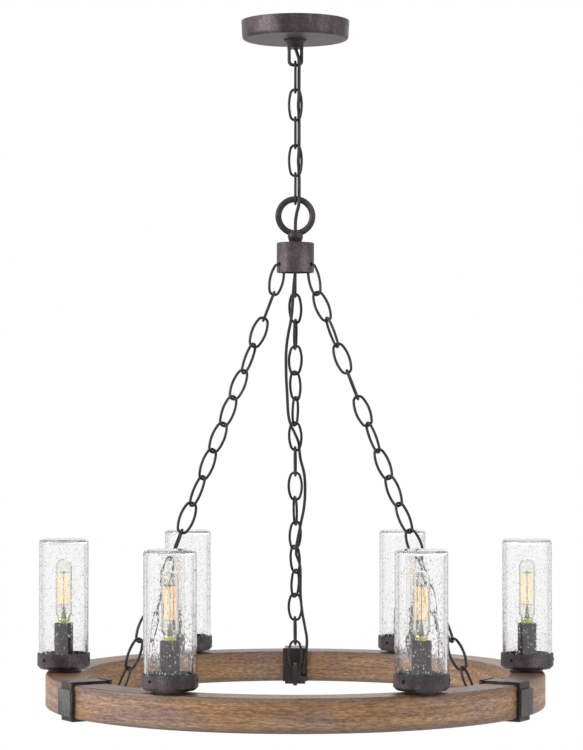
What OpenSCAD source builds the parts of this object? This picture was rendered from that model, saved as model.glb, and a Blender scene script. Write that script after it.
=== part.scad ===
// Wagon wheel chandelier: a wooden ring with six glass lamps, hung on three chains from a hub,
// which hangs on a short chain from a round ceiling canopy.
// Millimetres. The ceiling is the plane z = 0, and the canopy's centre is the origin.

/* [Ceiling canopy] */
// Diameter of the canopy
canopy_d = 128; // [112:1:150]
// Height of the canopy
canopy_h = 22; // [18:1:34]
// Wall of the canopy
canopy_wall = 1.2; // [0.8:0.1:2]
// Radius of the canopy's lower edge
canopy_edge_r = 4; // [2:0.5:6]
// How far the canopy's side draws in from the ceiling to its lower edge
canopy_draft = 1; // [0:0.1:2]
// Width of the collar where it meets the canopy
collar_d = 27.8; // [26:0.2:36]
// Height of the collar
collar_h = 6.4; // [5:0.2:10]
// Width of the ceiling loop
loop_w = 18.7; // [17.4:0.1:19.4]
// Height of the ceiling loop below the collar
loop_h = 25.4; // [23:0.1:40]
// Bar of the ceiling loop
loop_bar = 4; // [3:0.1:4.6]

/* [Crossbar] */
// Distance between the crossbar's two slots
slot_spacing = 88.9; // [82:0.1:92]
// Width of a slot
slot_w = 4.6; // [4:0.1:6]
// Length of a slot
slot_l = 12; // [8:0.5:14]
// Width of the crossbar
crossbar_w = 17; // [16:0.5:24]
// Thickness of the crossbar
crossbar_t = 2.5; // [1.5:0.1:4]

/* [Chain] */
// Length of an upper link over its wire
link_l = 39.7; // [38:0.1:44]
// Width of an upper link over its wire
link_w = 18.1; // [17.2:0.1:20]
// Length of a lower link over its wire
low_link_l = 40.3; // [38:0.1:44]
// Width of a lower link over its wire
low_link_w = 19.4; // [17.2:0.1:21]
// Wire of a link
wire_d = 3.2; // [2.8:0.1:3.3]
// Slit where a link's wire ends meet
link_seam = 0.3; // [0.2:0.1:1.5]
// Links in each of the three lower chains
lower_links = 16; // [12:1:18]

/* [Hub] */
// Diameter of the hub ring over its bar
hub_ring_d = 47.6; // [42:0.1:56]
// Bar of the hub ring
hub_ring_bar = 7.4; // [6.4:0.1:7.4]
// Diameter of the knob under the hub ring
knob_d = 18.3; // [17:0.1:22]
// Height of the knob
knob_h = 13.5; // [12:0.1:16]
// Diameter of the hub cup
cup_d = 44.2; // [42:0.1:60]
// Height of the hub cup
cup_h = 35.3; // [33:0.1:50]
// Wall of the hub cup
cup_wall = 2; // [1.5:0.1:2.4]
// Height of the chain holes above the cup's lower edge
cup_hole_up = 9.5; // [9:0.1:11]

/* [Wheel] */
// Outer diameter of the wooden ring
wheel_d = 587; // [570:1:640]
// Width of the ring, seen from above
wheel_w = 42; // [38:0.5:56]
// Height of the ring
wheel_h = 38; // [34:0.5:50]
// Radius of the ring's long edges
wheel_edge_r = 3; // [1:0.5:5]
// How far below the ring's top its chains are held
hook_drop = 18; // [14:0.1:19]
// Distance from the ring's outer side in to the lamps and the wires
lamp_inset = 20.2; // [18.5:0.1:22]

/* [Brackets] */
// Width of a bracket's strap
strap_w = 26; // [20:0.5:34]
// Thickness of the strap and of the inner plate
strap_t = 3.2; // [2:0.1:4]
// Width of the inner and outer plates
plate_w = 31; // [28:0.5:44]
// Height of the outer plate
plate_h = 30; // [20:0.5:33]
// Thickness of the outer plate
plate_t = 3; // [1.5:0.1:4]
// How far the inner plate stands above the ring's top
plate_rise = 4.2; // [4:0.1:9]
// Width of the stirrup that holds a chain
stirrup_w = 4.8; // [3.6:0.1:5]
// Thickness of the stirrup
stirrup_t = 3; // [2.4:0.1:3.4]

/* [Lamps] */
// Diameter of the glass
glass_d = 58.5; // [52:0.1:66]
// Height of the glass
glass_h = 149.2; // [135:0.1:190]
// Wall of the glass
glass_wall = 3; // [2:0.1:4]
// Radius of the glass's upper edge
glass_edge_r = 4; // [2:0.5:6]
// Height of the cup that holds a glass
gallery_h = 18; // [14:0.1:24]
// Wall of that cup
gallery_wall = 1.4; // [1:0.1:2]
// Bevel round the cup's foot
gallery_bevel = 3.5; // [1:0.1:5]
// Diameter of the disc between the cup and the ring
spacer_d = 36.6; // [24:0.1:41]
// Thickness of that disc
spacer_h = 3.5; // [2:0.1:8]
// Diameter of the socket's sleeve
sleeve_d = 22; // [21:0.1:26]
// Height of the socket's sleeve
sleeve_h = 50.5; // [46:0.1:56]
// Diameter of the bulb's glass
bulb_d = 19; // [17:0.1:24]
// Height of the bulb's glass
bulb_h = 70.3; // [60:0.1:74]
// Diameter of the bulb's screw cap
cap_d = 11.84; // [11:0.02:11.9]

/* [Cords] */
// Diameter of the upper cord
upper_cord_d = 4; // [3:0.1:4]
// Diameter of the lower cord
lower_cord_d = 3.6; // [3:0.1:3.6]

/* [Hidden] */
$fn = 48;
metal = [0.29, 0.28, 0.28];
dark_metal = [0.17, 0.16, 0.16];
wood = [0.56, 0.45, 0.36];
glass = [0.88, 0.9, 0.9, 0.4];
brass = [0.72, 0.62, 0.36];
black = [0.1, 0.1, 0.1];

lamp_count = 6;
chain_azimuths = [90, 210, 330];
fit = 0.1;     // between parts that screw or slide together in one body
part_gap = 0.3; // between parts of different bodies
eps = 0.01;

// Threaded tube used at the canopy, the hub and the lamps, and the cord's bore in it
tube_r = 5;
cord_bore_r = 2.75;

// Canopy and ceiling loop
collar_z = -canopy_h - collar_h;
neck_r = 8;
canopy_hole_r = 10;
loop_foot_r = loop_w / 2 + 0.3;
loop_foot_h = 4;
loop_bend_r = 4.8;
loop_leg_x = (loop_w - loop_bar) / 2;
loop_bar_z = collar_z - loop_h + loop_bar / 2;
boss_r = 8;
boss_h = 8;
crossbar_l = slot_spacing + slot_l + 6;

// Chain, along the middle line of the wire
hang = wire_d + part_gap;
span = link_l - wire_d;
pitch = span - hang;
low_span = low_link_l - wire_d;
low_pitch = low_span - hang;
upper_links = 5;
first_top_z = loop_bar_z + (loop_bar + wire_d) / 2 + part_gap;
upper_foot_z = first_top_z - (upper_links - 1) * pitch - span;

// Hub
ring_mid_r = (hub_ring_d - hub_ring_bar) / 2;
ring_z = upper_foot_z + wire_d / 2 + part_gap + hub_ring_bar / 2 - ring_mid_r;
cup_top_z = ring_z - hub_ring_d / 2 - 7.7;
cup_foot_z = cup_top_z - cup_h;
cup_top_t = 2.5;
cup_hole_r = 2.8;
cup_hole_z = cup_foot_z + cup_hole_up;
hub_nut_h = 5;
hub_nut_r = 9;
hub_tube_l = 14;

// Lower chains, seen in the plane through the axis: [distance from the axis, height]
chain_start = [(cup_d - cup_wall) / 2, cup_hole_z - 0.5];
first_tilt = 14;
first_foot = chain_start + low_span * [sin(first_tilt), -cos(first_tilt)];
chain_run = (lower_links - 1) * low_pitch;
hook_end_r = wheel_d / 2 - wheel_w - 18.4;
chain_tilt = asin((hook_end_r - first_foot[0]) / chain_run);
along = [sin(chain_tilt), -cos(chain_tilt)];
hook_point = first_foot + chain_run * along;

// Turn of each link about its chain, 0 when it stands in the plane through the axis
twist_back = [0, 60, -10, -70, 50, -24, 68, 4, 85, 14, -58, 45, -35, 85, 5, 90];
twist_left = [-12, 62, -28, 32, -52, 6, -52, 6, -82, -24, 58, -28, 60, -60, 10, 90];
twist_right = [-12, 46, -45, 23, 113, 28, -36, 53, -7, 68, 6, 96, 18, 98, 18, 90];

// Wheel
wheel_r = wheel_d / 2;
wheel_in_r = wheel_r - wheel_w;
wheel_z = round(hook_point[1] + hook_drop);
wheel_foot_z = wheel_z - wheel_h;
lamp_r = wheel_r - lamp_inset;
channel_w = 20;
channel_h = 14;
cover_w = 32;
cover_t = 1.6;
channel_top_z = wheel_foot_z + cover_t + channel_h;
cover_screw_r = 1.5;
cover_head_r = 2.6;

// Brackets
plate_y = floor(10 * sqrt(wheel_in_r^2 - (plate_w / 2)^2)) / 10 - strap_t;
stirrup_y = round(hook_point[0] - 8);
stirrup_z = round(10 * hook_point[1] + 5 * wire_d + 9) / 10;

// The cord's way into the ring, beside the back chain's hook
inlet_x = 11;
inlet_z = wheel_foot_z + 9.5;
inlet_r = 3.2;

// Lamp
gallery_r = glass_d / 2 + 0.35 + gallery_wall;
gallery_floor_t = 2.5;
gallery_z = wheel_z + spacer_h;
floor_z = gallery_z + gallery_floor_t;
glass_foot_z = floor_z + part_gap;
sleeve_top_z = floor_z + sleeve_h;
sleeve_wall = 0.8;
socket_r = sleeve_d / 2 - sleeve_wall - fit;
socket_top_z = sleeve_top_z - 1.5;
socket_bore_h = 17.8;
socket_bore_r = 6;
skirt_z = sleeve_top_z + part_gap;
skirt_h = 5.6;
skirt_r = 7.2;
bulb_z = skirt_z + skirt_h;
bulb_wall = 0.7;
bulb_neck_r = 3.2;
filament_r = 6.2;
filament_low_z = bulb_z + 14;
filament_top_z = bulb_z + bulb_h - 17.5;
filament_wire_r = 0.3;
tube_top_z = floor_z + 12;
tube_foot_z = channel_top_z - 6;
lamp_nut_h = 3;
lamp_nut_r = 8;
set_screw_r = 1.7;
set_screw_l = 2.1;
set_screw_z = gallery_z + 11;
set_screw_azimuths = [228, 348, 108];

// Wires in the ring
harness_z = wheel_foot_z + 6;
harness_r = 1.8;
lead_r = 1.2;

// Cord beside the upper chain, from the canopy to the hub: [x, y, z]
upper_route = [
    [0, 0, -4], [0, 0, -14], [0, 0, -24], [0.1, -0.1, -31.5], [2.2, -2, -38.5], [4, -4, -45],
    [4.4, -4.5, -53], [4.3, -4.4, -63], [4.3, -4.2, -74], [4.3, -4, -84], [4, -2.4, -92],
    [3.5, 0, -99.3], [4, 2.4, -107], [4.3, 4, -115.5], [4.3, 2.6, -124], [4.3, 0, -132.4],
    [4.3, -2.6, -141], [4.3, -4, -149.2], [4, -2.4, -158], [3.5, 0, -165.5], [4, 2.4, -173],
    [4.3, 4, -181.5], [4.4, 2.6, -189], [4.4, -1.5, -197], [4.4, -5.2, -204.5], [4.3, -6.6, -212],
    [3.8, -6.2, -219], [1.6, -3.6, -227.5], [0.2, -0.8, -237], [0, 0, -246], [0, 0, -261], [0, 0, -276]
];

// Cord below the hub, beside the back chain. First [x, y, z] out of the hub,
hub_route = [[0, 0, -276.3], [0, 0.6, -287], [-0.5, 4, -299], [-2, 11, -313]];
// then [distance down the chain, sideways, behind it],
chain_route = [
    [8, -3.2, -8.6], [20, -4, -8.4], [33, -5.6, -7.6], [47, -8, -5], [62, -10.2, -4.6], [78, -11.2, -4.8],
    [95, -11.2, -4.6], [112, -10.8, -3], [130, -9.8, -3.6], [148, -9, -6.4], [159, -7.6, -9.2],
    [169, -4.4, -11], [177, -1.4, -7.2], [184, 0.4, -1.6], [191, 2.6, 2.2], [198, 4.4, 3.6],
    [206, 5, 3.8], [219, 6.6, 2.6], [234, 10.4, 1.4], [248, 12, 0.8], [268, 12, 0], [284, 10.6, -1.8],
    [299, 7.6, -4.8], [314, 4.6, -7.6], [329, 2, -8.4], [339, 1.2, -6.4], [347, 1.4, -2.4],
    [354.5, 3.4, 0.8], [363, 5.8, 1], [374, 6.6, -0.6], [386, 6.6, -3], [398, 6.6, -4.8], [414, 7.6, -5.2],
    [430, 9.4, -5.2], [446, 12, -4.6]
];
// and last [x, from the ring's inner face, above the ring's top] to the inlet.
ring_route = [
    [14.6, -33, 21], [14.8, -24, 9], [13.4, -16, -3], [11.8, -11.6, -12], [11.1, -10.4, -19.5],
    [11, -8.2, -25.6], [11, -3.6, -28.5], [11, 5, -28.5], [11, 15.8, -28.5]
];

// ---- Shared shapes ----

// A round bar bent to an arc about the Y axis, in the XZ plane, from one angle to another
module bent_bar(mid_r, bar_r, from, to) {
    rotate([90, 0, 0])
        rotate([0, 0, from])
            rotate_extrude(angle = to - from)
                translate([mid_r, 0])
                    circle(r = bar_r);
}

// One chain link in the XZ plane, its middle at the origin, with the slit on its right side
module link(length, width) {
    bar = wire_d / 2;
    bend = width / 2 - bar;
    straight = length - width;
    half_side = (straight - link_seam) / 2;
    translate([0, 0, straight / 2])
        bent_bar(bend, bar, 0, 180);
    translate([0, 0, -straight / 2])
        bent_bar(bend, bar, 180, 360);
    translate([-bend, 0, -straight / 2])
        cylinder(r = bar, h = straight);
    for (foot = [-straight / 2, straight / 2 - half_side])
        translate([bend, 0, foot])
            cylinder(r = bar, h = half_side);
}

// A tube swept along a route, with a ring of points square to the route at each point
function unit(v) = v / norm(v);
function heading(route, i) = unit(route[min(i + 1, len(route) - 1)] - route[max(i - 1, 0)]);
function square_to(t) = unit([1, 0, 0] - (t * [1, 0, 0]) * t);
function ring(route, i, r, sides) =
    let (t = heading(route, i), n = square_to(t), m = cross(t, n))
    [for (k = [0 : sides - 1]) route[i] + r * (cos(360 * k / sides) * n + sin(360 * k / sides) * m)];
module tube(route, r, sides = 8) {
    last = len(route) - 1;
    points = [for (i = [0 : last]) each ring(route, i, r, sides)];
    walls = [
        for (i = [0 : last - 1], k = [0 : sides - 1])
            let (a = i * sides + k, b = i * sides + (k + 1) % sides)
            each [[a, a + sides, b + sides], [a, b + sides, b]]
    ];
    start = [for (k = [0 : sides - 1]) k];
    end = [for (k = [sides - 1 : -1 : 0]) last * sides + k];
    polyhedron(points, concat([start], walls, [end]));
}

module at_lamp(i) {
    rotate([0, 0, 360 / lamp_count * (i - 1)])
        translate([lamp_r, 0, 0])
            rotate([0, 0, -360 / lamp_count * (i - 1)])
                children();
}

// Turns what is drawn with its outside towards +Y to an azimuth
module at_azimuth(azimuth) {
    rotate([0, 0, azimuth - 90])
        children();
}

module tube_along_y(r, from, to, x, z) {
    translate([x, from, z])
        rotate([-90, 0, 0])
            cylinder(r = r, h = to - from);
}

// ---- Ceiling ----

module crossbar() {
    color(metal)
        difference() {
            union() {
                translate([-crossbar_l / 2, -crossbar_w / 2, -crossbar_t])
                    cube([crossbar_l, crossbar_w, crossbar_t]);
                translate([0, 0, -boss_h])
                    cylinder(r = boss_r, h = boss_h);
            }
            translate([0, 0, -boss_h - 1])
                cylinder(r = tube_r + fit, h = boss_h + 2);
            for (side = [-1, 1])
                translate([side * slot_spacing / 2, 0, -crossbar_t - 1])
                    slot_hole();
        }
}

module slot_hole() {
    reach = (slot_l - slot_w) / 2;
    for (x = [-reach, reach])
        translate([x, 0, 0])
            cylinder(d = slot_w, h = crossbar_t + 2);
    translate([-reach, -slot_w / 2, 0])
        cube([2 * reach, slot_w, crossbar_t + 2]);
}

// Half outline of a dish with a drawn-in side and a round lower edge
module dish_outline(top_r, foot_r, h, edge_r) {
    edge = [
        for (turn = [0 : 15 : 90])
            [foot_r - edge_r * (1 - cos(turn)), -h + edge_r * (1 - sin(turn))]
    ];
    polygon(concat([[0, 0], [top_r, 0]], edge, [[0, -h]]));
}

module canopy() {
    top_r = canopy_d / 2;
    foot_r = top_r - canopy_draft;
    color(metal)
        difference() {
            rotate_extrude()
                dish_outline(top_r, foot_r, canopy_h, canopy_edge_r);
            translate([0, 0, 1])
                rotate_extrude()
                    dish_outline(
                        top_r - canopy_wall, foot_r - canopy_wall, canopy_h - canopy_wall + 1,
                        canopy_edge_r - canopy_wall
                    );
            translate([0, 0, -canopy_h - 1])
                cylinder(r = canopy_hole_r, h = canopy_h);
        }
}

module canopy_collar() {
    bead = 1.2;
    color(dark_metal)
        rotate_extrude()
            polygon([
                [neck_r + fit, -canopy_h], [collar_d / 2, -canopy_h],
                [collar_d / 2, -canopy_h - bead], [collar_d / 2 - 2.2, -canopy_h - 3],
                [loop_foot_r + 0.8, collar_z + 1], [loop_foot_r, collar_z], [neck_r + fit, collar_z]
            ]);
}

module canopy_loop() {
    foot_z = collar_z - loop_foot_h;
    corner_z = loop_bar_z + loop_bend_r;
    corner_x = loop_leg_x - loop_bend_r;
    bar = loop_bar / 2;
    color(dark_metal)
        difference() {
            union() {
                translate([0, 0, collar_z])
                    cylinder(r = neck_r, h = collar_h + 4);
                translate([0, 0, collar_z])
                    cylinder(r = tube_r, h = -collar_z - 0.5);
                translate([0, 0, foot_z])
                    cylinder(r = loop_foot_r, h = loop_foot_h);
                for (side = [-1, 1]) {
                    translate([side * loop_leg_x, 0, corner_z])
                        cylinder(r = bar, h = foot_z - corner_z + 1);
                    translate([side * corner_x, 0, corner_z])
                        rotate([0, 0, side > 0 ? 0 : 180])
                            bent_bar(loop_bend_r, bar, 270, 360);
                }
                translate([-corner_x, 0, loop_bar_z])
                    rotate([0, 90, 0])
                        cylinder(r = bar, h = 2 * corner_x);
            }
            translate([0, 0, foot_z - 1])
                cylinder(r = cord_bore_r, h = -foot_z + 2);
        }
}

module upper_cord() {
    color(black)
        tube(upper_route, upper_cord_d / 2);
}

// ---- Upper chain: links 1, 3 and 5 stand edge-on, 2 and 4 face the front ----

module chain_link(i) {
    color(dark_metal)
        translate([0, 0, first_top_z - span / 2 - (i - 1) * pitch])
            rotate([0, 0, i % 2 == 1 ? 90 : 180])
                link(link_l, link_w);
}

// ---- Hub ----

module hub_loop() {
    knob_r = knob_d / 2;
    top = cup_top_z + knob_h;
    color(dark_metal)
        difference() {
            union() {
                translate([0, 0, ring_z])
                    rotate([90, 0, 0])
                        rotate_extrude()
                            translate([ring_mid_r, 0])
                                circle(r = hub_ring_bar / 2);
                rotate_extrude()
                    polygon([
                        [0, cup_top_z], [knob_r - 2.2, cup_top_z], [knob_r - 0.3, cup_top_z + 5.5],
                        [knob_r, cup_top_z + 7.5], [knob_r - 0.4, top - 2.4], [knob_r - 1.6, top - 0.6],
                        [knob_r - 3, top], [0, top]
                    ]);
                translate([0, 0, cup_top_z - hub_tube_l])
                    cylinder(r = tube_r, h = hub_tube_l + 1);
            }
            translate([0, 0, cup_top_z - hub_tube_l - 1])
                cylinder(r = cord_bore_r, h = hub_tube_l + knob_h + hub_ring_bar);
        }
}

module hub_cup() {
    rim = 1.2;
    color(metal)
        difference() {
            rotate_extrude()
                polygon([
                    [0, cup_top_z], [cup_d / 2 - rim, cup_top_z], [cup_d / 2 - rim / 3, cup_top_z - rim / 3],
                    [cup_d / 2, cup_top_z - rim], [cup_d / 2, cup_foot_z], [0, cup_foot_z]
                ]);
            translate([0, 0, cup_foot_z - 1])
                cylinder(r = cup_d / 2 - cup_wall, h = cup_h - cup_top_t + 1);
            translate([0, 0, cup_foot_z])
                cylinder(r = tube_r + fit, h = cup_h + 1);
            for (azimuth = chain_azimuths)
                at_azimuth(azimuth)
                    tube_along_y(cup_hole_r, cup_d / 2 - cup_wall - 2, cup_d / 2 + 1, 0, cup_hole_z);
        }
}

module hub_nut() {
    color(dark_metal)
        translate([0, 0, cup_top_z - cup_top_t - hub_nut_h])
            difference() {
                cylinder(r = hub_nut_r, h = hub_nut_h, $fn = 6);
                translate([0, 0, -1])
                    cylinder(r = tube_r + fit, h = hub_nut_h + 2);
            }
}

// ---- Lower chains ----

module hung_link(top, tilt, twist) {
    translate([0, top[0], top[1]])
        rotate([tilt, 0, 0])
            rotate([0, 0, 90 + twist])
                translate([0, 0, -low_span / 2])
                    link(low_link_l, low_link_w);
}

module lower_chain(azimuth, twists) {
    color(dark_metal)
        at_azimuth(azimuth) {
            hung_link(chain_start, first_tilt, twists[0]);
            for (k = [1 : lower_links - 1])
                hung_link(first_foot + ((k - 1) * low_pitch - hang) * along, chain_tilt, twists[k]);
        }
}

function beside_chain(p) =
    let (s = p[0] - hang, behind = [-along[1], along[0]])
    [p[1], first_foot[0] + s * along[0] + p[2] * behind[0], first_foot[1] + s * along[1] + p[2] * behind[1]];

lower_route = concat(
    hub_route,
    [for (p = chain_route) beside_chain(p)],
    [for (p = ring_route) [p[0], wheel_in_r + p[1], wheel_z + p[2]]]
);

module lower_cord() {
    color(black)
        tube(lower_route, lower_cord_d / 2);
}

// ---- Wheel ----

// Half outline of the ring, its long edges rounded
module wheel_outline() {
    e = wheel_edge_r;
    translate([wheel_in_r, wheel_foot_z]) {
        translate([e, 0])
            square([wheel_w - 2 * e, wheel_h]);
        translate([0, e])
            square([wheel_w, wheel_h - 2 * e]);
        for (x = [e, wheel_w - e], z = [e, wheel_h - e])
            translate([x, z])
                circle(r = e);
    }
}

module wheel_ring() {
    color(wood)
        difference() {
            rotate_extrude()
                difference() {
                    wheel_outline();
                    translate([lamp_r - channel_w / 2, wheel_foot_z - 1])
                        square([channel_w, channel_top_z - wheel_foot_z + 1]);
                    translate([lamp_r - cover_w / 2, wheel_foot_z - 1])
                        square([cover_w, cover_t + 1]);
                }
            for (i = [1 : lamp_count])
                at_lamp(i)
                    translate([0, 0, channel_top_z - 1])
                        cylinder(r = tube_r + fit, h = wheel_z - channel_top_z + 2);
            tube_along_y(inlet_r, wheel_in_r - 2, lamp_r - channel_w / 2 + 2, inlet_x, inlet_z);
            cover_screw_places()
                translate([0, 0, wheel_foot_z])
                    cylinder(r = cover_screw_r + fit, h = cover_t + 11);
        }
}

module cover_screw_places() {
    for (i = [0 : lamp_count - 1], side = [-1, 1])
        rotate([0, 0, 360 / lamp_count * (i + 0.5) + 6])
            translate([lamp_r + side * (channel_w + cover_w) / 4, 0, 0])
                children();
}

module channel_cover() {
    color(metal)
        difference() {
            translate([0, 0, wheel_foot_z])
                rotate_extrude()
                    translate([lamp_r - cover_w / 2 + fit, 0])
                        square([cover_w - 2 * fit, cover_t - fit / 2]);
            cover_screw_places()
                translate([0, 0, wheel_foot_z - 1])
                    cylinder(r = cover_head_r + fit, h = cover_t + 2);
        }
}

module cover_screws() {
    color(dark_metal)
        cover_screw_places()
            translate([0, 0, wheel_foot_z]) {
                cylinder(r = cover_head_r, h = cover_t - fit / 2);
                cylinder(r = cover_screw_r, h = cover_t + 10);
            }
}

module wire_harness() {
    color(black) {
        translate([0, 0, harness_z])
            rotate_extrude()
                translate([lamp_r, 0])
                    circle(r = harness_r);
        for (i = [1 : lamp_count])
            at_lamp(i)
                translate([0, 0, harness_z])
                    cylinder(r = lead_r, h = tube_top_z - harness_z);
        tube_along_y(3, lower_route[len(lower_route) - 1][1], lamp_r + 3, inlet_x, inlet_z);
        translate([inlet_x, lamp_r, harness_z])
            cylinder(r = lead_r, h = inlet_z - harness_z);
    }
}

// ---- Brackets ----

// A strap bent round the ring with a plate on its inner side, seen along the ring
module strap_outline() {
    bend = 1.2;
    outer_y = wheel_r + 0.05;
    difference() {
        union() {
            translate([plate_y, wheel_foot_z - strap_t])
                square([outer_y + strap_t - plate_y - bend, wheel_h + 2 * strap_t]);
            translate([plate_y, wheel_foot_z - strap_t + bend])
                square([outer_y + strap_t - plate_y, wheel_h + 2 * strap_t - 2 * bend]);
            for (z = [wheel_foot_z - strap_t + bend, wheel_z + strap_t - bend])
                translate([outer_y + strap_t - bend, z])
                    circle(r = bend);
        }
        translate([plate_y + strap_t, wheel_foot_z])
            square([outer_y - plate_y - strap_t, wheel_h]);
    }
}

// A closed stirrup on the plate, which the last link goes round, seen along the ring
module stirrup_outline() {
    foot_z = wheel_foot_z - strap_t;
    bend = 2;
    reach = plate_y - stirrup_y + eps;
    difference() {
        union() {
            translate([stirrup_y + bend, foot_z])
                square([reach - bend, stirrup_z + stirrup_t - foot_z]);
            translate([stirrup_y, foot_z + bend])
                square([reach, stirrup_z + stirrup_t - foot_z - 2 * bend]);
            for (z = [foot_z + bend, stirrup_z + stirrup_t - bend])
                translate([stirrup_y + bend, z])
                    circle(r = bend);
        }
        translate([stirrup_y + stirrup_t, foot_z + strap_t])
            square([reach, stirrup_z - foot_z - strap_t]);
    }
}

// Stands an outline drawn as [outwards, up] across the ring, centred on its width
module across(width) {
    translate([width / 2, 0, 0])
        rotate([90, 0, -90])
            mirror([1, 0, 0])
                linear_extrude(height = width)
                    children();
}

module bracket(azimuth, inlet = false) {
    color(metal)
        at_azimuth(azimuth)
            difference() {
                union() {
                    across(strap_w)
                        strap_outline();
                    translate([-plate_w / 2, plate_y, wheel_foot_z])
                        cube([plate_w, strap_t, wheel_h + plate_rise]);
                    across(stirrup_w)
                        stirrup_outline();
                }
                if (inlet)
                    tube_along_y(inlet_r, plate_y - 1, plate_y + strap_t + 1, inlet_x, inlet_z);
            }
}

module bracket_plates() {
    color(metal)
        for (azimuth = chain_azimuths)
            at_azimuth(azimuth)
                translate([-plate_w / 2, wheel_r + 0.1 + strap_t, wheel_z - (wheel_h + plate_h) / 2 - 1])
                    cube([plate_w, plate_t, plate_h]);
}

// ---- Lamps ----

module gallery_spacers() {
    color(dark_metal)
        for (i = [1 : lamp_count])
            at_lamp(i)
                translate([0, 0, wheel_z])
                    difference() {
                        cylinder(d = spacer_d, h = spacer_h);
                        translate([0, 0, -1])
                            cylinder(r = tube_r + fit, h = spacer_h + 2);
                    }
}

module lamp_nipples() {
    color(metal)
        for (i = [1 : lamp_count])
            at_lamp(i)
                translate([0, 0, tube_foot_z])
                    difference() {
                        cylinder(r = tube_r, h = tube_top_z - tube_foot_z);
                        translate([0, 0, -1])
                            cylinder(r = cord_bore_r, h = tube_top_z - tube_foot_z + 2);
                    }
}

module lamp_nuts() {
    color(metal)
        for (i = [1 : lamp_count])
            at_lamp(i)
                translate([0, 0, channel_top_z - lamp_nut_h])
                    difference() {
                        cylinder(r = lamp_nut_r, h = lamp_nut_h, $fn = 6);
                        translate([0, 0, -1])
                            cylinder(r = tube_r + fit, h = lamp_nut_h + 2);
                    }
}

module lamp_sockets() {
    color(black)
        for (i = [1 : lamp_count])
            at_lamp(i)
                difference() {
                    translate([0, 0, floor_z])
                        cylinder(r = socket_r, h = socket_top_z - floor_z);
                    translate([0, 0, socket_top_z - socket_bore_h])
                        cylinder(r = socket_bore_r, h = socket_bore_h + 1);
                    translate([0, 0, floor_z - 1])
                        cylinder(r = tube_r + fit, h = tube_top_z - floor_z + 1);
                }
}

module gallery(i) {
    foot_r = gallery_r - gallery_bevel;
    inner_r = gallery_r - gallery_wall;
    color(metal)
        at_lamp(i)
            difference() {
                rotate_extrude()
                    polygon([
                        [tube_r + fit, gallery_z], [foot_r, gallery_z], [gallery_r, gallery_z + gallery_bevel],
                        [gallery_r, gallery_z + gallery_h], [inner_r, gallery_z + gallery_h],
                        [inner_r, floor_z], [tube_r + fit, floor_z]
                    ]);
                for (azimuth = set_screw_azimuths)
                    at_azimuth(azimuth)
                        tube_along_y(set_screw_r + fit, inner_r - 1, gallery_r + 1, 0, set_screw_z);
            }
}

module set_screws() {
    inner_r = gallery_r - gallery_wall + 0.05;
    color(black)
        for (i = [1 : lamp_count], azimuth = set_screw_azimuths)
            at_lamp(i)
                at_azimuth(azimuth)
                    difference() {
                        tube_along_y(set_screw_r, inner_r, inner_r + set_screw_l, 0, set_screw_z);
                        translate([-set_screw_r, inner_r + set_screw_l - 0.7, set_screw_z - 0.25])
                            cube([2 * set_screw_r, 1, 0.5]);
                    }
}

module socket_sleeve(i) {
    color(dark_metal)
        at_lamp(i)
            translate([0, 0, floor_z])
                difference() {
                    cylinder(d = sleeve_d, h = sleeve_h);
                    translate([0, 0, -1])
                        cylinder(r = sleeve_d / 2 - sleeve_wall, h = sleeve_h + 2);
                }
}

module bulb_core(i) {
    contact_z = socket_top_z - socket_bore_h + part_gap;
    color(brass)
        at_lamp(i) {
            translate([0, 0, contact_z])
                cylinder(r = 2.5, h = 3);
            translate([0, 0, contact_z + 2])
                cylinder(d = cap_d, h = skirt_z + 1 - contact_z - 2);
            translate([0, 0, skirt_z])
                cylinder(r = skirt_r, h = skirt_h);
            translate([0, 0, bulb_z - 1])
                cylinder(r1 = bulb_neck_r - 0.3, r2 = 1.2, h = filament_low_z - bulb_z - 2);
            translate([0, 0, bulb_z])
                cylinder(r = 0.6, h = filament_top_z - bulb_z);
            filament();
        }
}

// Eight upright wires round the stem, held by spokes at their ends
module filament() {
    for (k = [0 : 7])
        rotate([0, 0, 45 * k + 22.5]) {
            translate([filament_r, 0, filament_low_z - filament_wire_r])
                cylinder(r = filament_wire_r, h = filament_top_z - filament_low_z, $fn = 16);
            for (z = [filament_low_z, filament_top_z - 2 * filament_wire_r])
                translate([0, 0, z])
                    rotate([0, 90, 0])
                        cylinder(r = filament_wire_r * 0.8, h = filament_r, $fn = 16);
        }
}

// Half outline of a round-topped tube that draws in at its foot
module bulb_outline(r, h, foot_r, foot_h) {
    difference() {
        union() {
            polygon([[0, 0], [foot_r, 0], [r, foot_h], [r, h - r], [0, h - r]]);
            translate([0, h - r])
                circle(r = r);
        }
        translate([-r - 1, -1])
            square([r + 1, h + 2]);
    }
}

module bulb_glass(i) {
    color(glass)
        at_lamp(i)
            translate([0, 0, bulb_z])
                rotate_extrude()
                    difference() {
                        bulb_outline(bulb_d / 2, bulb_h, skirt_r - 0.4, 5);
                        translate([0, bulb_wall])
                            bulb_outline(
                                bulb_d / 2 - bulb_wall, bulb_h - 2 * bulb_wall,
                                skirt_r - 0.4 - bulb_wall, 5
                            );
                        translate([0, -1])
                            square([bulb_neck_r, 3]);
                    }
}

module glass_shade(i) {
    r = glass_d / 2;
    color(glass)
        at_lamp(i)
            translate([0, 0, glass_foot_z])
                rotate_extrude()
                    difference() {
                        jar_outline(r, glass_h, glass_edge_r);
                        translate([0, -1])
                            jar_outline(r - glass_wall, glass_h - glass_wall - 0.5 + 1, glass_edge_r - 2);
                    }
}

// Half outline of a straight jar with a flat top and a round shoulder
module jar_outline(r, h, edge_r) {
    square([r - edge_r, h]);
    square([r, h - edge_r]);
    translate([r - edge_r, h - edge_r])
        circle(r = edge_r);
}

// ---- The assembly ----

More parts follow.
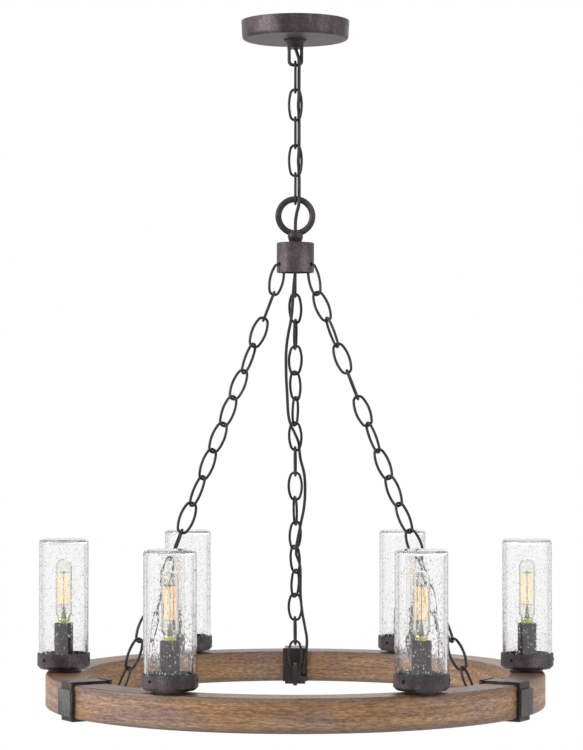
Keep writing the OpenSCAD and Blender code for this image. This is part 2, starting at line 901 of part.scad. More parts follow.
crossbar();
canopy();
canopy_collar();
canopy_loop();
upper_cord();
for (i = [1 : upper_links])
    chain_link(i);
hub_loop();
hub_cup();
hub_nut();
lower_cord();
lower_chain(90, twist_back);  // chain_back
lower_chain(210, twist_left);  // chain_left
lower_chain(330, twist_right);  // chain_right
wheel_ring();
channel_cover();
cover_screws();
wire_harness();
bracket(90, inlet = true);  // bracket_back
bracket(210);  // bracket_left
bracket(330);  // bracket_right
bracket_plates();
gallery_spacers();
lamp_nipples();
lamp_nuts();
lamp_sockets();
set_screws();
for (i = [1 : lamp_count]) {
    gallery(i);
    socket_sleeve(i);
    bulb_core(i);
    bulb_glass(i);
    glass_shade(i);
}
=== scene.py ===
import math

import bpy
from mathutils import Matrix, Vector


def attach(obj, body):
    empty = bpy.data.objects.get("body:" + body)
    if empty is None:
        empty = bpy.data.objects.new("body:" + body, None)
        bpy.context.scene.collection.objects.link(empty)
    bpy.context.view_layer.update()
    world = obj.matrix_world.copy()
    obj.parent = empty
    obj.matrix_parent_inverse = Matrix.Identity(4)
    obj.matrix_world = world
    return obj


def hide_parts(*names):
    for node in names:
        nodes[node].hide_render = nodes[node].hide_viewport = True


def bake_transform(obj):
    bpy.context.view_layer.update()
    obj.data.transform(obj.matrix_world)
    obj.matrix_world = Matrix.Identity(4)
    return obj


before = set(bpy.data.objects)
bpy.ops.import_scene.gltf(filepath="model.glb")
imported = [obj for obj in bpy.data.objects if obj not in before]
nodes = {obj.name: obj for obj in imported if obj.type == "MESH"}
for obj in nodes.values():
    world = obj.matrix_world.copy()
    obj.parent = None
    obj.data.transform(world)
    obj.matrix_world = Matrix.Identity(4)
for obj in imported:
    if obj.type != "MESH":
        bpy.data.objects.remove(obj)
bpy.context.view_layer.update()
print("frame loaded:", len(nodes), "nodes")

lampCount = 6
upperLinkCount = 5
mm = 0.001  # sizes are kept in mm, apart from those of the view, the lights and the floor


def hexColor(text):
    # sRGB hex to the linear values that Blender works in
    parts = [int(text[i:i + 2], 16) / 255 for i in (1, 3, 5)]
    linear = [p / 12.92 if p <= 0.04045 else ((p + 0.055) / 1.055) ** 2.4 for p in parts]
    return (*linear, 1)


def addNode(tree, kind, settings=None, inputs=None, links=None, stops=None):
    # settings are the node's own, inputs are socket values, links join sockets to other nodes' outputs,
    # and stops are a ramp's places with a hex colour or a grey. A colour mix has its two colours on
    # sockets 6 and 7, and its result on output 2
    made = tree.nodes.new(kind)
    for key, value in (settings or {}).items():
        setattr(made, key, value)
    for key, value in (inputs or {}).items():
        made.inputs[key].default_value = value
    for key, source in (links or {}).items():
        tree.links.new(source, made.inputs[key])
    if stops:
        elements = made.color_ramp.elements
        while len(elements) < len(stops):
            elements.new(0.5)
        for element, (place, color) in zip(elements, stops):
            element.position = place
            element.color = hexColor(color) if isinstance(color, str) else (color, color, color, 1)
    return made


def newMaterial(name, inputs=None):
    # inputs are the shader's plain values
    material = bpy.data.materials.new(name)
    material.use_nodes = True
    tree = material.node_tree
    tree.nodes.clear()
    shader = addNode(tree, "ShaderNodeBsdfPrincipled", inputs=inputs)
    addNode(tree, "ShaderNodeOutputMaterial", links={"Surface": shader.outputs["BSDF"]})
    return material, tree, shader


def deselectAll():
    if bpy.context.object and bpy.context.object.mode != "OBJECT":
        bpy.ops.object.mode_set(mode="OBJECT")
    bpy.ops.object.select_all(action="DESELECT")


def makeActive(piece):
    deselectAll()
    piece.select_set(True)
    bpy.context.view_layer.objects.active = piece


def applyPlace(piece):
    makeActive(piece)
    bpy.ops.object.transform_apply(location=True, rotation=True, scale=True)


def setMaterial(piece, material):
    piece.data.materials.clear()
    piece.data.materials.append(material)


def smoothEdges(piece, degrees=35):
    makeActive(piece)
    bpy.ops.object.shade_smooth_by_angle(angle=math.radians(degrees))


view = {
    "place": (-0.0046, -3.003, -0.466),
    "tiltUp": 0.9,  # degrees above level
    "lens": 122,
    "sensor": 36,
}

lighting = {
    "aim": (0, 0, -0.5),
    # a large soft lamp high on the left, and weaker ones on the right and behind: metres and watts
    "lamps": {
        "keyLight": {"place": (-3.4, -1.0, 0.9), "size": 2.0, "power": 104},
        "fillLight": {"place": (3.1, -1.7, 0.3), "size": 2.2, "power": 26},
        "backLight": {"place": (0.6, 2.8, 1.2), "size": 2.0, "power": 26},
    },
    "skyLight": 0.52,  # strength of the sky's light on the pieces
    "skySeen": 1,      # strength of the sky to the eye, plain white
}

ground = {
    "depth": 6,     # the floor of a high hall, which leaves room to look up from straight below
    "radius": 7,
    "sides": 96,
    "cloud": 333,   # mm of the plaster's faint clouds
    "lift": 0.35,   # how much paler the eye sees the floor, whose shadows stay
}


def setCamera():
    data = bpy.data.cameras.new("camera")
    data.lens = view["lens"]
    data.sensor_width = view["sensor"]
    camera = bpy.data.objects.new("camera", data)
    camera.location = view["place"]
    camera.rotation_euler = (math.radians(90 + view["tiltUp"]), 0, 0)
    bpy.context.scene.collection.objects.link(camera)
    bpy.context.scene.camera = camera
    bpy.context.scene.view_settings.view_transform = "Standard"


def setLights():
    for name, values in lighting["lamps"].items():
        data = bpy.data.lights.new(name, "AREA")
        data.shape = "SQUARE"
        data.size = values["size"]
        data.energy = values["power"]
        lamp = bpy.data.objects.new(name, data)
        lamp.location = values["place"]
        toAim = Vector(lighting["aim"]) - Vector(values["place"])
        lamp.rotation_euler = toAim.to_track_quat("-Z", "Y").to_euler()
        bpy.context.scene.collection.objects.link(lamp)


def seenShare(tree):
    # 1 where the camera, a mirror image or a look through glass meets a surface, 0 for its light on others
    path = addNode(tree, "ShaderNodeLightPath")
    direct = addNode(
        tree, "ShaderNodeMath", {"operation": "MAXIMUM"},
        links={0: path.outputs["Is Camera Ray"], 1: path.outputs["Is Transmission Ray"]},
    )
    seen = addNode(
        tree, "ShaderNodeMath", {"operation": "MAXIMUM"},
        links={0: direct.outputs[0], 1: path.outputs["Is Glossy Ray"]},
    )
    return seen.outputs[0]


def setSky():
    world = bpy.data.worlds.new("sky")
    bpy.context.scene.world = world
    world.use_nodes = True
    tree = world.node_tree
    tree.nodes.clear()
    soft, white = [
        addNode(tree, "ShaderNodeBackground", inputs={"Color": (1, 1, 1, 1), "Strength": lighting[key]})
        for key in ("skyLight", "skySeen")
    ]
    mix = addNode(
        tree, "ShaderNodeMixShader",
        links={0: seenShare(tree), 1: soft.outputs[0], 2: white.outputs[0]},
    )
    addNode(tree, "ShaderNodeOutputWorld", links={"Surface": mix.outputs[0]})


def makeFloor():
    material, tree, shader = newMaterial(
        "painted plaster floor", {"Roughness": 0.8, "Emission Color": (1, 1, 1, 1)}
    )
    place = addNode(tree, "ShaderNodeTexCoord")
    shade = addNode(
        tree, "ShaderNodeTexNoise", inputs={"Scale": 1 / (ground["cloud"] * mm), "Detail": 2},
        links={"Vector": place.outputs["Object"]},
    )
    color = addNode(
        tree, "ShaderNodeValToRGB", links={"Fac": shade.outputs["Fac"]},
        stops=[(0.3, "#f6f5f3"), (0.7, "#fbfaf9")],
    )
    tree.links.new(color.outputs["Color"], shader.inputs["Base Color"])
    lift = addNode(
        tree, "ShaderNodeMath", {"operation": "MULTIPLY"}, {1: ground["lift"]}, {0: seenShare(tree)}
    )
    tree.links.new(lift.outputs[0], shader.inputs["Emission Strength"])
    deselectAll()
    bpy.ops.mesh.primitive_circle_add(
        vertices=ground["sides"], radius=ground["radius"], fill_type="NGON",
        location=(0, 0, -ground["depth"]),
    )
    floor = bpy.context.object
    floor.name = "floor"
    setMaterial(floor, material)


setCamera()
setLights()
setSky()
makeFloor()
print("camera, lights and floor set")


pattern = {
    "spangle": 5,          # from one zinc crystal to the next
    "spangleRelief": 0.2,  # deeper than real so that it shows, as the next relief is
    "mottle": 8.33,        # uneven tone of a moulded or pressed surface
    "mottleRelief": 0.1,
    "weave": 2,            # threads of the cord cover, drawn coarser than real so that they show
    "wear": 3.33,          # from one worn patch of brass to the next
    "hotStretch": 11.1,    # along the filament
}

zinc = {
    "cloud": 26.3,    # from one rubbed cloud to the next
    "upright": 0.55,  # draws the clouds out upright
    "grit": 2.5,      # powder paint's grit, drawn coarser than real so that it shows
    "wireGrit": 4.17,
    "screwGrit": 1.56,
    "relief": 0.4,    # deeper than real for the same reason
}


def zincMaterial(name, dark, middle, light, metallic=0.55, roughness=0.5, grit=zinc["grit"]):
    # powder-coated and hand-rubbed zinc: cloudy grey-brown, a fine grit, and a soft dull shine
    material, tree, shader = newMaterial(name, {"Metallic": metallic})
    place = addNode(tree, "ShaderNodeTexCoord")
    drawnOut = addNode(
        tree, "ShaderNodeMapping", inputs={"Scale": (1, 1, zinc["upright"])},
        links={"Vector": place.outputs["Object"]},
    )
    clouds = addNode(
        tree, "ShaderNodeTexNoise",
        inputs={"Scale": 1 / (zinc["cloud"] * mm), "Detail": 5, "Roughness": 0.62},
        links={"Vector": drawnOut.outputs["Vector"]},
    )
    specks = addNode(
        tree, "ShaderNodeTexNoise", inputs={"Scale": 1 / (grit * mm), "Detail": 3, "Roughness": 0.6},
        links={"Vector": place.outputs["Object"]},
    )
    rubbed = addNode(
        tree, "ShaderNodeValToRGB", links={"Fac": clouds.outputs["Fac"]},
        stops=[(0.34, dark), (0.5, middle), (0.68, light)],
    )
    gritty = addNode(
        tree, "ShaderNodeValToRGB", links={"Fac": specks.outputs["Fac"]}, stops=[(0.38, 0.55), (0.62, 1.1)]
    )
    both = addNode(
        tree, "ShaderNodeMix", {"data_type": "RGBA", "blend_type": "MULTIPLY"}, {"Factor": 0.8},
        {6: rubbed.outputs["Color"], 7: gritty.outputs["Color"]},
    )
    tree.links.new(both.outputs[2], shader.inputs["Base Color"])
    rough = addNode(
        tree, "ShaderNodeMapRange", inputs={"To Min": roughness - 0.08, "To Max": roughness + 0.12},
        links={"Value": clouds.outputs["Fac"]},
    )
    tree.links.new(rough.outputs["Result"], shader.inputs["Roughness"])
    bump = addNode(
        tree, "ShaderNodeBump", inputs={"Strength": 0.25, "Distance": zinc["relief"] * mm},
        links={"Height": specks.outputs["Fac"]},
    )
    tree.links.new(bump.outputs["Normal"], shader.inputs["Normal"])
    return material


def steelMaterial(name, base, spangled, roughness=0.45):
    # steel with a dull plating: an even grey with a faint spangle
    material, tree, shader = newMaterial(name, {"Metallic": 1, "Roughness": roughness})
    place = addNode(tree, "ShaderNodeTexCoord")
    spangle = addNode(
        tree, "ShaderNodeTexNoise", inputs={"Scale": 1 / (pattern["spangle"] * mm), "Detail": 3},
        links={"Vector": place.outputs["Object"]},
    )
    tone = addNode(
        tree, "ShaderNodeValToRGB", links={"Fac": spangle.outputs["Fac"]},
        stops=[(0.35, base), (0.7, spangled)],
    )
    tree.links.new(tone.outputs["Color"], shader.inputs["Base Color"])
    bump = addNode(
        tree, "ShaderNodeBump", inputs={"Strength": 0.1, "Distance": pattern["spangleRelief"] * mm},
        links={"Height": spangle.outputs["Fac"]},
    )
    tree.links.new(bump.outputs["Normal"], shader.inputs["Normal"])
    return material


agedZinc = zincMaterial("aged zinc paint", "#3b3435", "#51474a", "#72686b")
darkZinc = zincMaterial("dark aged zinc paint", "#2b2727", "#3b3535", "#564d4d", roughness=0.44)
chainPaint = zincMaterial(
    "black zinc paint on wire", "#242121", "#332f2f", "#4b4545", metallic=0.5, roughness=0.42,
    grit=zinc["wireGrit"],
)
strapPaint = zincMaterial(
    "grey zinc paint on strap steel", "#444142", "#595657", "#737071", metallic=0.6, roughness=0.42
)
screwSteel = zincMaterial(
    "blackened screw steel", "#161616", "#1e1d1d", "#2b2a2a", metallic=0.8, roughness=0.35,
    grit=zinc["screwGrit"],
)
platedSteel = steelMaterial("zinc plated steel", "#7f7d77", "#979590")
leadWire = steelMaterial("nickel lead wire", "#6d675c", "#9a958a", roughness=0.38)


grain = {
    # length along the ring and width across it
    "band": (160, 9),      # pale and dark growth bands
    "cloud": (120, 50),    # where the stain took more or less
    "streak": (60, 1.5),   # long pores, drawn wider than real so that they show
    "fleck": (7, 1.6),     # short pores, as wide for the same reason
    "relief": 0.6,         # deeper than real so that it shows
    "ringRadius": 290,     # turns the angle round the ring into a length
    "middle": -787,        # height of the ring's middle
    "cornerFrom": 9,       # distance above and below it where the darker corners begin
    "cornerFull": 19.5,
    # painted shade laid into the upright faces' corners, and its share
    "paintedCornerShade": "#655852",
    "cornerShare": 0.85,
    # painted shade multiplied into the upper face
    "paintedTopShade": "#aca29f",
}


def woodMaterial():
    # bent oak with a grey-brown stain and a dry matt lacquer: pores, flecks and wide bands run along the ring
    material, tree, shader = newMaterial("grey stained oak")
    place = addNode(tree, "ShaderNodeTexCoord")
    axes = addNode(tree, "ShaderNodeSeparateXYZ", links={"Vector": place.outputs["Object"]})
    minusY = addNode(tree, "ShaderNodeMath", {"operation": "MULTIPLY"}, {1: -1}, {0: axes.outputs["Y"]})
    angle = addNode(  # its seam lies under the strap at the back
        tree, "ShaderNodeMath", {"operation": "ARCTAN2"},
        links={0: axes.outputs["X"], 1: minusY.outputs[0]},
    )
    along = addNode(
        tree, "ShaderNodeMath", {"operation": "MULTIPLY"}, {1: grain["ringRadius"] * mm},
        {0: angle.outputs[0]},
    )
    flat = addNode(tree, "ShaderNodeCombineXYZ", links={"X": axes.outputs["X"], "Y": axes.outputs["Y"]})
    outward = addNode(tree, "ShaderNodeVectorMath", {"operation": "LENGTH"}, links={0: flat.outputs[0]})
    bent = addNode(
        tree, "ShaderNodeCombineXYZ",
        links={"X": along.outputs[0], "Y": outward.outputs["Value"], "Z": axes.outputs["Z"]},
    )

    def streaks(size, detail, roughness, distortion=0.0):
        # a noise drawn out along the ring
        length, width = size
        mapping = addNode(
            tree, "ShaderNodeMapping",
            inputs={"Scale": (1 / (length * mm), 1 / (width * mm), 1 / (width * mm))},
            links={"Vector": bent.outputs[0]},
        )
        noise = addNode(
            tree, "ShaderNodeTexNoise",
            inputs={"Scale": 1, "Detail": detail, "Roughness": roughness, "Distortion": distortion},
            links={"Vector": mapping.outputs["Vector"]},
        )
        return noise.outputs["Fac"]

    bands = streaks(grain["band"], 4, 0.55, 0.6)
    fine = streaks(grain["streak"], 5, 0.7, 0.3)
    base = addNode(
        tree, "ShaderNodeValToRGB", links={"Fac": bands},
        stops=[(0.3, "#6b482e"), (0.43, "#966a41"), (0.56, "#b98e5d"), (0.72, "#d2ad7b")],
    )
    stain = addNode(
        tree, "ShaderNodeValToRGB", links={"Fac": streaks(grain["cloud"], 2, 0.5)},
        stops=[(0.4, "#a5928e"), (0.58, "#b6936f")],
    )
    stained = addNode(
        tree, "ShaderNodeMix", {"data_type": "RGBA"}, {"Factor": 0.5},
        {6: base.outputs["Color"], 7: stain.outputs["Color"]},
    )
    pores = addNode(
        tree, "ShaderNodeValToRGB", links={"Fac": fine},
        stops=[(0.34, "#b4a69f"), (0.46, "#f2f0ee"), (0.66, 1.15)],
    )
    porous = addNode(
        tree, "ShaderNodeMix", {"data_type": "RGBA", "blend_type": "MULTIPLY"}, {"Factor": 0.85},
        {6: stained.outputs[2], 7: pores.outputs["Color"]},
    )
    flecks = addNode(
        tree, "ShaderNodeValToRGB", links={"Fac": streaks(grain["fleck"], 3, 0.65)},
        stops=[(0.37, "#c3b7af"), (0.62, 1.24)],
    )
    whole = addNode(
        tree, "ShaderNodeMix", {"data_type": "RGBA", "blend_type": "MULTIPLY"}, {"Factor": 0.9},
        {6: porous.outputs[2], 7: flecks.outputs["Color"]},
    )
    # painted shade: the upper face is darkened, and in patches so are the upright faces' corners above and
    # below the middle, for the shade that falls on them
    facing = addNode(tree, "ShaderNodeNewGeometry")
    facingAxes = addNode(tree, "ShaderNodeSeparateXYZ", links={"Vector": facing.outputs["Normal"]})
    upward = addNode(
        tree, "ShaderNodeMapRange", inputs={"From Min": 0.3, "From Max": 0.95, "To Max": 1},
        links={"Value": facingAxes.outputs["Z"]},
    )
    topped = addNode(
        tree, "ShaderNodeMix", {"data_type": "RGBA", "blend_type": "MULTIPLY"},
        {7: hexColor(grain["paintedTopShade"])}, {"Factor": upward.outputs["Result"], 6: whole.outputs[2]},
    )
    sideways = addNode(
        tree, "ShaderNodeMath", {"operation": "MULTIPLY_ADD"}, {1: -1, 2: 1}, {0: upward.outputs["Result"]}
    )
    fromMiddle = addNode(
        tree, "ShaderNodeMath", {"operation": "SUBTRACT"}, {1: grain["middle"] * mm}, {0: axes.outputs["Z"]}
    )
    height = addNode(tree, "ShaderNodeMath", {"operation": "ABSOLUTE"}, links={0: fromMiddle.outputs[0]})
    corner = addNode(
        tree, "ShaderNodeMapRange", {"interpolation_type": "SMOOTHSTEP"},
        {
            "From Min": grain["cornerFrom"] * mm, "From Max": grain["cornerFull"] * mm,
            "To Max": grain["cornerShare"],
        },
        {"Value": height.outputs[0]},
    )
    # painted shade on the upright faces towards their upper and lower corners, patchy along the growth bands
    sideCorner = addNode(
        tree, "ShaderNodeMath", {"operation": "MULTIPLY"},
        links={0: sideways.outputs[0], 1: corner.outputs["Result"]},
    )
    patches = addNode(
        tree, "ShaderNodeValToRGB", links={"Fac": bands}, stops=[(0.35, 0.5), (0.6, 1.0)]
    )
    share = addNode(
        tree, "ShaderNodeMath", {"operation": "MULTIPLY"},
        links={0: sideCorner.outputs[0], 1: patches.outputs["Color"]},
    )
    finished = addNode(
        tree, "ShaderNodeMix", {"data_type": "RGBA"}, {7: hexColor(grain["paintedCornerShade"])},
        {"Factor": share.outputs[0], 6: topped.outputs[2]},
    )
    tree.links.new(finished.outputs[2], shader.inputs["Base Color"])
    rough = addNode(
        tree, "ShaderNodeMapRange", inputs={"To Min": 0.4, "To Max": 0.62}, links={"Value": fine}
    )
    tree.links.new(rough.outputs["Result"], shader.inputs["Roughness"])
    bump = addNode(
        tree, "ShaderNodeBump", inputs={"Strength": 0.5, "Distance": grain["relief"] * mm},
        links={"Height": fine},
    )
    tree.links.new(bump.outputs["Normal"], shader.inputs["Normal"])
    return material


stainedOak = woodMaterial()


seeds = {
    "spacing": 2.7,        # from one air seed to the next in the glass
    "stretch": 0.6,        # seeds are drawn out upright
    "size": 0.34,          # share of the spacing that a seed fills
    "milk": 0.85,          # share of the light that a seed scatters
    "relief": 0.17,        # how far a seed swells the surface, drawn deeper than real so that it shows
    "ripple": 26,          # length of the slow waves left by blowing
    "rippleStretch": 0.5,
    "rippleShare": 0.9,    # their height as a share of a seed's
    "dimple": 5,           # length of the uneven skin between the seeds
    "dimpleShare": 0.3,
    "shoulder": (-616.5, -614.5),  # heights between which the tube turns into its top
    "shoulderSolid": 0.95,
}


def seededGlassMaterial():
    # clear mouth-blown glass: smooth, with scattered air seeds that catch the dark things behind it
    material, tree, shader = newMaterial("clear seeded glass", {"Roughness": 0.01, "IOR": 1.5})
    place = addNode(tree, "ShaderNodeTexCoord")
    drawnOut = addNode(
        tree, "ShaderNodeMapping", inputs={"Scale": (1, 1, seeds["stretch"])},
        links={"Vector": place.outputs["Object"]},
    )
    cells = addNode(
        tree, "ShaderNodeTexVoronoi", {"feature": "F1"},
        {"Scale": 1 / (seeds["spacing"] * mm), "Randomness": 1},
        {"Vector": drawnOut.outputs["Vector"]},
    )
    shape = addNode(
        tree, "ShaderNodeValToRGB", links={"Fac": cells.outputs["Distance"]},
        stops=[(0.0, 1.0), (seeds["size"] * 0.5, 0.75), (seeds["size"], 0.0)],
    )
    chance = addNode(tree, "ShaderNodeSeparateColor", links={"Color": cells.outputs["Color"]})
    some = addNode(
        tree, "ShaderNodeValToRGB", links={"Fac": chance.outputs["Red"]}, stops=[(0.3, 0.0), (1.0, 1.0)]
    )
    seed = addNode(
        tree, "ShaderNodeMath", {"operation": "MULTIPLY"},
        links={0: shape.outputs["Color"], 1: some.outputs["Color"]},
    )
    clear = addNode(  # a seed scatters the light, so it is milky
        tree, "ShaderNodeMath", {"operation": "MULTIPLY_ADD"}, {1: -seeds["milk"], 2: 1}, {0: seed.outputs[0]}
    )
    tree.links.new(clear.outputs[0], shader.inputs["Transmission Weight"])
    waves = addNode(
        tree, "ShaderNodeMapping", inputs={"Scale": (1, 1, seeds["rippleStretch"])},
        links={"Vector": place.outputs["Object"]},
    )
    ripples = addNode(
        tree, "ShaderNodeTexNoise", inputs={"Scale": 1 / (seeds["ripple"] * mm), "Detail": 2},
        links={"Vector": waves.outputs["Vector"]},
    )
    dimples = addNode(
        tree, "ShaderNodeTexNoise", inputs={"Scale": 1 / (seeds["dimple"] * mm), "Detail": 1},
        links={"Vector": drawnOut.outputs["Vector"]},
    )
    skin = addNode(
        tree, "ShaderNodeMath", {"operation": "MULTIPLY_ADD"}, {1: seeds["dimpleShare"]},
        {0: dimples.outputs["Fac"], 2: seed.outputs[0]},
    )
    height = addNode(
        tree, "ShaderNodeMath", {"operation": "MULTIPLY_ADD"}, {1: seeds["rippleShare"]},
        {0: ripples.outputs["Fac"], 2: skin.outputs[0]},
    )
    bump = addNode(
        tree, "ShaderNodeBump", inputs={"Strength": 1, "Distance": seeds["relief"] * mm},
        links={"Height": height.outputs[0]},
    )
    tree.links.new(bump.outputs["Normal"], shader.inputs["Normal"])
    axes = addNode(tree, "ShaderNodeSeparateXYZ", links={"Vector": place.outputs["Object"]})
    tubeEnd, topStart = seeds["shoulder"]
    shoulder = addNode(  # light that runs round in the thick shoulder would come out black, so it is thinned
        tree, "ShaderNodeMapRange",
        inputs={
            "From Min": tubeEnd * mm, "From Max": topStart * mm,
            "To Min": 1, "To Max": seeds["shoulderSolid"],
        },
        links={"Value": axes.outputs["Z"]},
    )
    tree.links.new(shoulder.outputs["Result"], shader.inputs["Alpha"])
    # painted shade: the base colour greys towards the outline, where the glass is seen edge-on
    edge = addNode(tree, "ShaderNodeLayerWeight", inputs={"Blend": 0.5})
    paintedOutlineShade = addNode(
        tree, "ShaderNodeValToRGB", links={"Fac": edge.outputs["Facing"]},
        stops=[(0.4, "#fbfbfb"), (0.75, "#c9c7c8"), (1.0, "#716e70")],
    )
    tree.links.new(paintedOutlineShade.outputs["Color"], shader.inputs["Base Color"])
    return material


def bulbGlassMaterial():
    # thin soda-lime glass, blown smooth, with a faint amber lacquer. Its IOR is drawn low, because its wall
    # is far thinner than the mesh's
    material, tree, shader = newMaterial(
        "clear bulb glass", {"Transmission Weight": 1, "Roughness": 0.01, "IOR": 1.3}
    )
    # painted shade: the base colour greys towards the outline, a little warm for the lacquer
    edge = addNode(tree, "ShaderNodeLayerWeight", inputs={"Blend": 0.5})
    paintedOutlineShade = addNode(
        tree, "ShaderNodeValToRGB", links={"Fac": edge.outputs["Facing"]},
        stops=[(0.35, "#fcfcfa"), (0.7, "#b4b1ab"), (1.0, "#66625d")],
    )
    tree.links.new(paintedOutlineShade.outputs["Color"], shader.inputs["Base Color"])
    return material


def filamentMaterial():
    # carbon filament at a dim warm glow, with hotter stretches
    material, tree, shader = newMaterial(
        "glowing carbon filament",
        {"Base Color": hexColor("#c79a55"), "Roughness": 0.6, "Emission Strength": 1.0},
    )
    place = addNode(tree, "ShaderNodeTexCoord")
    glow = addNode(
        tree, "ShaderNodeTexNoise", inputs={"Scale": 1 / (pattern["hotStretch"] * mm), "Detail": 2},
        links={"Vector": place.outputs["Object"]},
    )
    color = addNode(
        tree, "ShaderNodeValToRGB", links={"Fac": glow.outputs["Fac"]},
        stops=[(0.35, "#f6c983"), (0.65, "#ffedc2")],
    )
    tree.links.new(color.outputs["Color"], shader.inputs["Emission Color"])
    return material


def brassMaterial():
    # rolled yellow brass, a little greenish, with worn patches
    material, tree, shader = newMaterial("rolled brass", {"Metallic": 1, "Roughness": 0.34})
    place = addNode(tree, "ShaderNodeTexCoord")
    wear = addNode(
        tree, "ShaderNodeTexNoise", inputs={"Scale": 1 / (pattern["wear"] * mm), "Detail": 3},
        links={"Vector": place.outputs["Object"]},
    )
    color = addNode(
        tree, "ShaderNodeValToRGB", links={"Fac": wear.outputs["Fac"]},
        stops=[(0.35, "#a7a35c"), (0.65, "#dad592")],
    )
    tree.links.new(color.outputs["Color"], shader.inputs["Base Color"])
    return material


def plainMaterial(name, low, high, roughness, size):
    # moulded or covered surfaces: a close grain in two near tones
    material, tree, shader = newMaterial(name, {"Roughness": roughness})
    place = addNode(tree, "ShaderNodeTexCoord")
    mottle = addNode(
        tree, "ShaderNodeTexNoise", inputs={"Scale": 1 / (size * mm), "Detail": 4},
        links={"Vector": place.outputs["Object"]},
    )
    color = addNode(
        tree, "ShaderNodeValToRGB", links={"Fac": mottle.outputs["Fac"]}, stops=[(0.35, low), (0.65, high)]
    )
    tree.links.new(color.outputs["Color"], shader.inputs["Base Color"])
    bump = addNode(
        tree, "ShaderNodeBump", inputs={"Strength": 0.3, "Distance": pattern["mottleRelief"] * mm},
        links={"Height": mottle.outputs["Fac"]},
    )
    tree.links.new(bump.outputs["Normal"], shader.inputs["Normal"])
    return material


seededGlass = seededGlassMaterial()
bulbGlass = bulbGlassMaterial()
hotWire = filamentMaterial()
brass = brassMaterial()
cordCover = plainMaterial("black cord cover", "#1c1919", "#2e2a2a", 0.5, pattern["weave"])
phenolic = plainMaterial("black phenolic", "#121212", "#1d1c1b", 0.4, pattern["mottle"])
leadGlass = plainMaterial("pressed stem glass", "#8f8c80", "#b4b1a6", 0.2, pattern["mottle"])

nodeFinish = {
    "canopy": agedZinc, "hub_cup": agedZinc, "crossbar": platedSteel, "lamp_nipples": platedSteel,
    "lamp_nuts": platedSteel, "channel_cover": platedSteel, "canopy_collar": darkZinc,
    "canopy_loop": darkZinc, "hub_loop": darkZinc, "hub_nut": darkZinc, "gallery_spacers": darkZinc,
    "chain_back": chainPaint, "chain_left": chainPaint, "chain_right": chainPaint,
    "bracket_back": darkZinc, "bracket_left": darkZinc, "bracket_right": darkZinc,
    "bracket_plates": strapPaint, "upper_cord": cordCover, "lower_cord": cordCover,
    "wire_harness": cordCover, "cover_screws": screwSteel, "set_screws": screwSteel,
    "wheel_ring": stainedOak, "lamp_sockets": phenolic,
}
for number in range(1, upperLinkCount + 1):
    nodeFinish["chain_link_%d" % number] = chainPaint
for number in range(1, lampCount + 1):
    nodeFinish["gallery_%d" % number] = agedZinc
    nodeFinish["socket_sleeve_%d" % number] = darkZinc
    nodeFinish["bulb_core_%d" % number] = brass
    nodeFinish["bulb_glass_%d" % number] = bulbGlass
    nodeFinish["glass_shade_%d" % number] = seededGlass
for name, piece in nodes.items():
    setMaterial(piece, nodeFinish[name])
print("finishes on", len(nodeFinish), "nodes")


def smoothPath(points, steps):
    # a curve through every point, each stretch cut into steps
    ends = [points[0] * 2 - points[1], *points, points[-1] * 2 - points[-2]]
    path = []
    for before, start, end, after in zip(ends, ends[1:], ends[2:], ends[3:]):
        for step in range(steps):
            s = step / steps
            path.append(0.5 * (
                2 * start + (end - before) * s + (2 * before - 5 * start + 4 * end - after) * s ** 2
                + (3 * start - before - 3 * end + after) * s ** 3
            ))
    return [*path, points[-1]]


def wirePiece(name, paths, diameter, material, resolution=3, closed=False):
    # round wire along each path, with closed ends
    data = bpy.data.curves.new(name, "CURVE")
    data.dimensions = "3D"
    data.bevel_depth = diameter / 2 * mm
    data.bevel_resolution = resolution
    data.use_fill_caps = True
    for path in paths:
        spline = data.splines.new("POLY")
        spline.points.add(len(path) - 1)
        spline.use_cyclic_u = closed
        for point, place in zip(spline.points, path):
            point.co = (*place, 1)
    piece = bpy.data.objects.new(name, data)
    bpy.context.scene.collection.objects.link(piece)
    makeActive(piece)
    bpy.ops.object.convert(target="MESH")
    piece = bpy.context.object
    smoothEdges(piece, degrees=50)
    setMaterial(piece, material)
    return piece


chain = {
    "wire": 3.2,
    "endRadius": 6,  # of the wire's middle at both ends, where a link is most bent
    "endSteps": 14,
    "sideSteps": 12,
    "slit": 0.3,
    "hang": 3.5,     # a wire and the play between two links
    "upper": {"length": 39.7, "width": 18.1, "top": -47.9},
    "lower": {
        "length": 40.3, "width": 19.4,
        "start": (21.1, -288.7),  # top of the first link: from the axis, height
        "firstTilt": 14,
        "firstFoot": (30.075, -324.698),
        "along": (0.402827, -0.915276),  # direction of the links after the first
    },
    # in degrees, where the chain stands round the axis, and each link's turn, 0 in the plane through the axis
    "back": (90, [0, 60, -10, -70, 50, -24, 68, 4, 85, 14, -58, 45, -35, 85, 5, 90]),
    "left": (210, [-12, 62, -28, 32, -52, 6, -52, 6, -82, -24, 58, -28, 60, -60, 10, 90]),
    "right": (330, [-12, 46, -45, 23, 113, 28, -36, 53, -7, 68, 6, 96, 18, 98, 18, 90]),
}


def arcPoint(x, z, radius, angle):
    return Vector((x + radius * math.cos(angle), 0, z + radius * math.sin(angle)))


